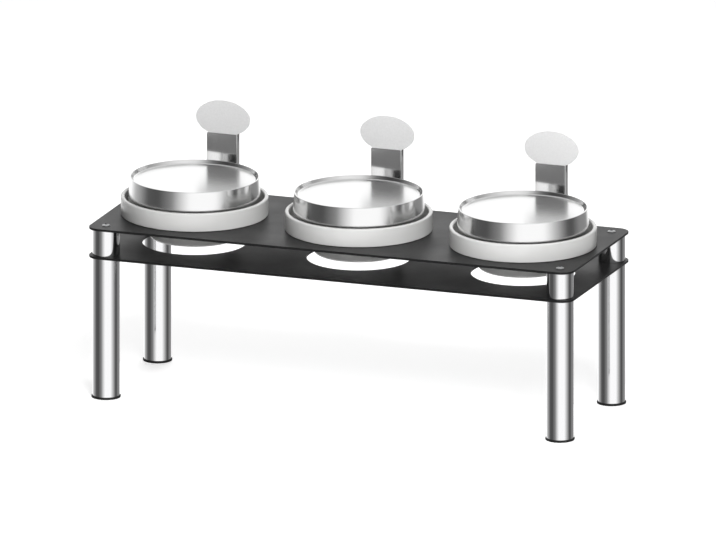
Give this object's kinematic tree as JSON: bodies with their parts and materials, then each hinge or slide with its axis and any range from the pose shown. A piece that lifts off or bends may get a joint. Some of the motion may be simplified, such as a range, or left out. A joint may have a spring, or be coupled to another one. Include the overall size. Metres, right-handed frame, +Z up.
{
  "type": "buffet cold display",
  "caption": "Low buffet stand of black boards on round polished legs, with lift-out white dishes, cold packs and steel trays in a row, and an oval sign on a post behind each.",
  "frame": {"origin": "centre of the stand's footprint, on the surface that it stands on", "axes": "+X along the row of dishes to the right, +Y from the diner's side to the back, +Z up"},
  "size_m": [0.9, 0.32, 0.476],
  "materials": {
    "board_black": "satin powder coat on aluminium plate",
    "leg_chrome": "polished tube",
    "foot_black": "moulded, matte",
    "rod_steel": "zinc plated",
    "plug_grey": "moulded nylon",
    "cap_steel": "satin",
    "dish_white": "moulded, glossy",
    "gasket_black": "matte",
    "pack_blue": "blow-moulded polyethylene",
    "tray_steel": "polished stainless sheet",
    "post_steel": "polished stainless bar",
    "sign_frosted": "frosted acrylic"
  },
  "bodies": {
    "stand": {"top_board": "board_black", "lower_board": "board_black", "front_left_leg": "leg_chrome", "front_left_spacer": "leg_chrome", "front_left_foot": "foot_black", "front_left_tie_rod": "rod_steel", "front_left_tube_plugs": "plug_grey", "front_right_leg": "leg_chrome", "front_right_spacer": "leg_chrome", "front_right_foot": "foot_black", "front_right_tie_rod": "rod_steel", "front_right_tube_plugs": "plug_grey", "back_left_leg": "leg_chrome", "back_left_spacer": "leg_chrome", "back_left_foot": "foot_black", "back_left_tie_rod": "rod_steel", "back_left_tube_plugs": "plug_grey", "back_right_leg": "leg_chrome", "back_right_spacer": "leg_chrome", "back_right_foot": "foot_black", "back_right_tie_rod": "rod_steel", "back_right_tube_plugs": "plug_grey", "cap_nuts": "cap_steel", "foot_nuts": "rod_steel", "left_sign_post": "post_steel", "left_post_screws": "rod_steel", "middle_sign_post": "post_steel", "middle_post_screws": "rod_steel", "right_sign_post": "post_steel", "right_post_screws": "rod_steel"},
    "left_dish_body": {"left_dish": "dish_white", "left_dish_gasket": "gasket_black"},
    "left_pack_body": {"left_cold_pack": "pack_blue", "left_pack_plug": "pack_blue"},
    "left_tray_body": {"left_tray": "tray_steel"},
    "left_sign_body": {"left_sign": "sign_frosted"},
    "middle_dish_body": {"middle_dish": "dish_white", "middle_dish_gasket": "gasket_black"},
    "middle_pack_body": {"middle_cold_pack": "pack_blue", "middle_pack_plug": "pack_blue"},
    "middle_tray_body": {"middle_tray": "tray_steel"},
    "middle_sign_body": {"middle_sign": "sign_frosted"},
    "right_dish_body": {"right_dish": "dish_white", "right_dish_gasket": "gasket_black"},
    "right_pack_body": {"right_cold_pack": "pack_blue", "right_pack_plug": "pack_blue"},
    "right_tray_body": {"right_tray": "tray_steel"},
    "right_sign_body": {"right_sign": "sign_frosted"}
  },
  "joints": [
    {"name": "left_dish_lift", "type": "slide", "parent": "stand", "child": "left_dish_body", "axis": [0, 0, 1], "range_m": [0, 0.08]},
    {"name": "left_pack_lift", "type": "slide", "parent": "left_dish_body", "child": "left_pack_body", "axis": [0, 0, 1], "range_m": [0, 0.07]},
    {"name": "left_tray_lift", "type": "slide", "parent": "left_pack_body", "child": "left_tray_body", "axis": [0, 0, 1], "range_m": [0, 0.08]},
    {"name": "left_sign_lift", "type": "slide", "parent": "stand", "child": "left_sign_body", "axis": [0, 0, 1], "range_m": [0, 0.03]},
    {"name": "middle_dish_lift", "type": "slide", "parent": "stand", "child": "middle_dish_body", "axis": [0, 0, 1], "range_m": [0, 0.08]},
    {"name": "middle_pack_lift", "type": "slide", "parent": "middle_dish_body", "child": "middle_pack_body", "axis": [0, 0, 1], "range_m": [0, 0.07]},
    {"name": "middle_tray_lift", "type": "slide", "parent": "middle_pack_body", "child": "middle_tray_body", "axis": [0, 0, 1], "range_m": [0, 0.08]},
    {"name": "middle_sign_lift", "type": "slide", "parent": "stand", "child": "middle_sign_body", "axis": [0, 0, 1], "range_m": [0, 0.03]},
    {"name": "right_dish_lift", "type": "slide", "parent": "stand", "child": "right_dish_body", "axis": [0, 0, 1], "range_m": [0, 0.08]},
    {"name": "right_pack_lift", "type": "slide", "parent": "right_dish_body", "child": "right_pack_body", "axis": [0, 0, 1], "range_m": [0, 0.07]},
    {"name": "right_tray_lift", "type": "slide", "parent": "right_pack_body", "child": "right_tray_body", "axis": [0, 0, 1], "range_m": [0, 0.08]},
    {"name": "right_sign_lift", "type": "slide", "parent": "stand", "child": "right_sign_body", "axis": [0, 0, 1], "range_m": [0, 0.03]}
  ]
}
